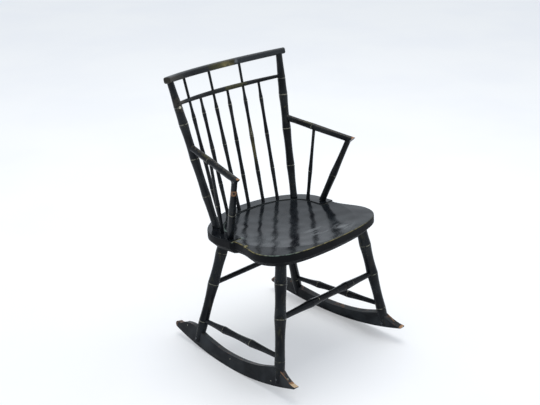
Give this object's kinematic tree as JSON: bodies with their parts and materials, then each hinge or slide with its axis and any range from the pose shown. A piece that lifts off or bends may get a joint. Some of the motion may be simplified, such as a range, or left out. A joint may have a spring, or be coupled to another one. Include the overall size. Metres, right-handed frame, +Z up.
{
  "type": "rocking chair",
  "caption": "Black painted wooden rocking armchair with bamboo-style turnings, a saddled plank seat, a bowed spindle back with straight arms, and curved rockers slotted into its legs.",
  "frame": {"origin": "middle of the chair's box, on the floor that the rockers stand on", "axes": "+Z up, the sitter faces -Y, +X to the sitter's left"},
  "size_m": [0.5036, 0.59, 0.8458],
  "materials": {
    "seat_paint": "old black paint on a pine plank, rubbed to a gloss, with a thin yellow-green line round the front of the seat",
    "rail_paint": "worn satin black paint over hardwood, rubbed to olive and gold at the middle of the crest",
    "turned_paint": "satin black paint over turned hardwood, with dull yellow rings painted in the scored grooves",
    "rocker_paint": "satin black paint over hardwood, worn through to bare brown wood at the toes, tails and edges",
    "pin_paint": "satin black paint over a hardwood peg"
  },
  "bodies": {
    "root": {"seat": "seat_paint", "crest_rail": "rail_paint", "mid_rail": "rail_paint", "back_post_left": "turned_paint", "back_post_right": "turned_paint", "spindle_1": "turned_paint", "spindle_2": "turned_paint", "spindle_3": "turned_paint", "spindle_4": "turned_paint", "spindle_5": "turned_paint", "spindle_6": "turned_paint", "arm_left": "turned_paint", "arm_right": "turned_paint", "arm_post_left": "turned_paint", "arm_post_right": "turned_paint", "arm_spindle_left": "turned_paint", "arm_spindle_right": "turned_paint", "leg_front_left": "turned_paint", "leg_front_right": "turned_paint", "leg_rear_left": "turned_paint", "leg_rear_right": "turned_paint", "stretcher_front": "turned_paint", "stretcher_rear": "turned_paint", "stretcher_side_left": "turned_paint", "stretcher_side_right": "turned_paint", "rocker_left": "rocker_paint", "rocker_right": "rocker_paint", "rocker_pin_front_left": "pin_paint", "rocker_pin_front_right": "pin_paint", "rocker_pin_rear_left": "pin_paint", "rocker_pin_rear_right": "pin_paint"}
  },
  "joints": []
}
